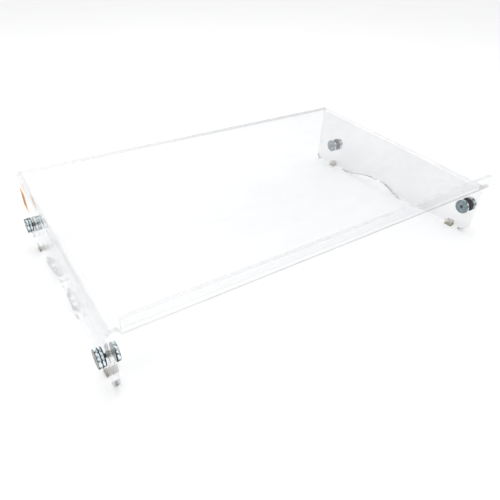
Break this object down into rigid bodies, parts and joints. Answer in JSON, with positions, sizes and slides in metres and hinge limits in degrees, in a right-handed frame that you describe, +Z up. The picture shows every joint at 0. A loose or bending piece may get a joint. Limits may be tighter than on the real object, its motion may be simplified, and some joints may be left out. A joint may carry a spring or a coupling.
{
  "type": "sneeze guard",
  "caption": "Clear bent acrylic guard with a flat top, two shaped side panels, a low front upstand and screw clamps through the sides.",
  "frame": {"origin": "centre of the assembly's box at the level of the foot pads' undersides", "axes": "+X to the right along the front upstand, +Y from the front upstand to the back edge, +Z up, square to the surface the guard stands on"},
  "size_m": [0.6962, 0.4284, 0.126],
  "materials": {
    "clear_acrylic": "clear polished cast acrylic sheet with faint cloudiness and sawn, flame-polished edges",
    "zinc_plate": "zinc-plated steel, turned faces and knurled rims",
    "black_steel": "black oxide screw steel",
    "black_rubber": "matt black rubber",
    "pad_vinyl": "aged translucent brown vinyl",
    "label_film": "plain orange printed film, slightly satin"
  },
  "bodies": {
    "guard": {"guard_shell": "clear_acrylic", "side_label": "label_film", "left_front_foot_pad": "pad_vinyl", "left_rear_foot_pad": "pad_vinyl", "right_front_foot_pad": "pad_vinyl", "right_rear_foot_pad": "pad_vinyl"},
    "left_front_slide_washer": {"left_front_inner_washer": "black_rubber"},
    "left_front_screw": {"left_front_stud": "black_steel", "left_front_screw_disc": "zinc_plate"},
    "left_front_clamp": {"left_front_clamp_disc": "zinc_plate", "left_front_clamp_washer": "black_rubber"},
    "left_front_nut": {"left_front_thumb_nut": "zinc_plate"},
    "left_rear_slide_washer": {"left_rear_inner_washer": "black_rubber"},
    "left_rear_screw": {"left_rear_stud": "black_steel", "left_rear_screw_disc": "zinc_plate"},
    "left_rear_clamp": {"left_rear_clamp_disc": "zinc_plate", "left_rear_clamp_washer": "black_rubber"},
    "left_rear_nut": {"left_rear_thumb_nut": "zinc_plate"},
    "right_front_slide_washer": {"right_front_inner_washer": "black_rubber"},
    "right_front_screw": {"right_front_stud": "black_steel", "right_front_screw_disc": "zinc_plate"},
    "right_front_clamp": {"right_front_clamp_disc": "zinc_plate", "right_front_clamp_washer": "black_rubber"},
    "right_front_nut": {"right_front_thumb_nut": "zinc_plate"},
    "right_rear_slide_washer": {"right_rear_inner_washer": "black_rubber"},
    "right_rear_screw": {"right_rear_stud": "black_steel", "right_rear_screw_disc": "zinc_plate"},
    "right_rear_clamp": {"right_rear_clamp_disc": "zinc_plate", "right_rear_clamp_washer": "black_rubber"},
    "right_rear_nut": {"right_rear_thumb_nut": "zinc_plate"}
  },
  "joints": [
    {"name": "left_front_screw_slide", "type": "slide", "parent": "guard", "child": "left_front_slide_washer", "axis": [-1, 0, 0], "range_m": [0, 0.0022]},
    {"name": "left_front_screw_turn", "type": "hinge", "parent": "left_front_slide_washer", "child": "left_front_screw", "pos_m": [-0.336, -0.18385, 0.04995], "axis": [-1, 0, 0], "continuous": true},
    {"name": "left_front_clamp_slide", "type": "slide", "parent": "left_front_screw", "child": "left_front_clamp", "axis": [-1, 0, 0], "range_m": [-0.0025, 0.001]},
    {"name": "left_front_nut_turn", "type": "hinge", "parent": "left_front_clamp", "child": "left_front_nut", "pos_m": [-0.336, -0.18385, 0.04995], "axis": [-1, 0, 0], "range_deg": [-900, 360]},
    {"name": "left_rear_screw_slide", "type": "slide", "parent": "guard", "child": "left_rear_slide_washer", "axis": [-1, 0, 0], "range_m": [0, 0.0022]},
    {"name": "left_rear_screw_turn", "type": "hinge", "parent": "left_rear_slide_washer", "child": "left_rear_screw", "pos_m": [-0.336, 0.16362, 0.04929], "axis": [-1, 0, 0], "continuous": true},
    {"name": "left_rear_clamp_slide", "type": "slide", "parent": "left_rear_screw", "child": "left_rear_clamp", "axis": [-1, 0, 0], "range_m": [-0.0011, 0.0024]},
    {"name": "left_rear_nut_turn", "type": "hinge", "parent": "left_rear_clamp", "child": "left_rear_nut", "pos_m": [-0.336, 0.16362, 0.04929], "axis": [-1, 0, 0], "range_deg": [-396, 864]},
    {"name": "right_front_screw_slide", "type": "slide", "parent": "guard", "child": "right_front_slide_washer", "axis": [1, 0, 0], "range_m": [0, 0.0022]},
    {"name": "right_front_screw_turn", "type": "hinge", "parent": "right_front_slide_washer", "child": "right_front_screw", "pos_m": [0.336, -0.18385, 0.04995], "axis": [1, 0, 0], "continuous": true},
    {"name": "right_front_clamp_slide", "type": "slide", "parent": "right_front_screw", "child": "right_front_clamp", "axis": [1, 0, 0], "range_m": [-0.0025, 0.001]},
    {"name": "right_front_nut_turn", "type": "hinge", "parent": "right_front_clamp", "child": "right_front_nut", "pos_m": [0.336, -0.18385, 0.04995], "axis": [1, 0, 0], "range_deg": [-900, 360]},
    {"name": "right_rear_screw_slide", "type": "slide", "parent": "guard", "child": "right_rear_slide_washer", "axis": [1, 0, 0], "range_m": [0, 0.0022]},
    {"name": "right_rear_screw_turn", "type": "hinge", "parent": "right_rear_slide_washer", "child": "right_rear_screw", "pos_m": [0.336, 0.16362, 0.04929], "axis": [1, 0, 0], "continuous": true},
    {"name": "right_rear_clamp_slide", "type": "slide", "parent": "right_rear_screw", "child": "right_rear_clamp", "axis": [1, 0, 0], "range_m": [-0.0011, 0.0024]},
    {"name": "right_rear_nut_turn", "type": "hinge", "parent": "right_rear_clamp", "child": "right_rear_nut", "pos_m": [0.336, 0.16362, 0.04929], "axis": [1, 0, 0], "range_deg": [-396, 864]}
  ],
  "couplings": [
    {"joint": "left_front_nut_turn", "follows": "left_front_clamp_slide", "rad_per_m": 6283.2},
    {"joint": "left_rear_nut_turn", "follows": "left_rear_clamp_slide", "rad_per_m": 6283.2},
    {"joint": "right_front_nut_turn", "follows": "right_front_clamp_slide", "rad_per_m": 6283.2},
    {"joint": "right_rear_nut_turn", "follows": "right_rear_clamp_slide", "rad_per_m": 6283.2}
  ]
}
